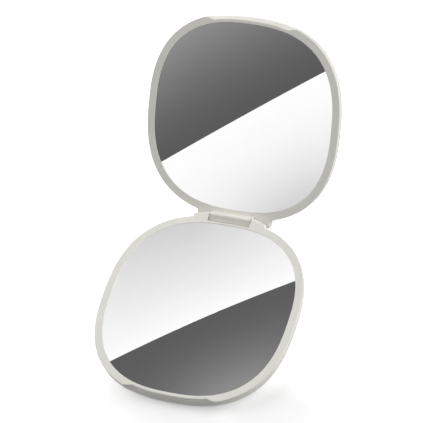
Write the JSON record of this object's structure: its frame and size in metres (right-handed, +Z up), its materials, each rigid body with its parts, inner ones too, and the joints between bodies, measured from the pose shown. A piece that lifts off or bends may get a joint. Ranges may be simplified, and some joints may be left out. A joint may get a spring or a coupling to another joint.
{
  "type": "folding compact mirror",
  "caption": "Rounded-square folding pocket mirror, standing open, with a flat glass in the lid and a slightly magnifying glass in the base.",
  "frame": {"origin": "centre of the lower half's flat underside, on the table", "axes": "+Z up, +Y from the lower half's free edge towards the hinge, +X along the hinge pin to the right"},
  "size_m": [0.076, 0.1389, 0.0492],
  "materials": {
    "base_frame": "fine satin, warm off-white",
    "base_cover": "fine satin, warm off-white",
    "base_mirror": "silvered glass, slightly dished",
    "base_mirror_pad": "white adhesive foam",
    "base_magnet_left": "nickel plate",
    "base_magnet_right": "nickel plate",
    "hinge_pin": "drawn wire",
    "lid_frame": "fine satin, warm off-white",
    "lid_cover": "fine satin, warm off-white",
    "lid_mirror": "silvered flat glass",
    "lid_mirror_pad": "white adhesive foam",
    "lid_magnet_left": "nickel plate",
    "lid_magnet_right": "nickel plate"
  },
  "bodies": {
    "base": {"base_frame": "base_frame", "base_cover": "base_cover", "base_mirror": "base_mirror", "base_mirror_pad": "base_mirror_pad", "base_magnet_left": "base_magnet_left", "base_magnet_right": "base_magnet_right", "hinge_pin": "hinge_pin"},
    "lid": {"lid_frame": "lid_frame", "lid_cover": "lid_cover", "lid_mirror": "lid_mirror", "lid_mirror_pad": "lid_mirror_pad", "lid_magnet_left": "lid_magnet_left", "lid_magnet_right": "lid_magnet_right"}
  },
  "joints": [
    {"name": "hinge", "type": "hinge", "parent": "base", "child": "lid", "pos_m": [0, 0.03842, 0.00453], "axis": [1, 0, 0], "range_deg": [0, 141.6]}
  ]
}
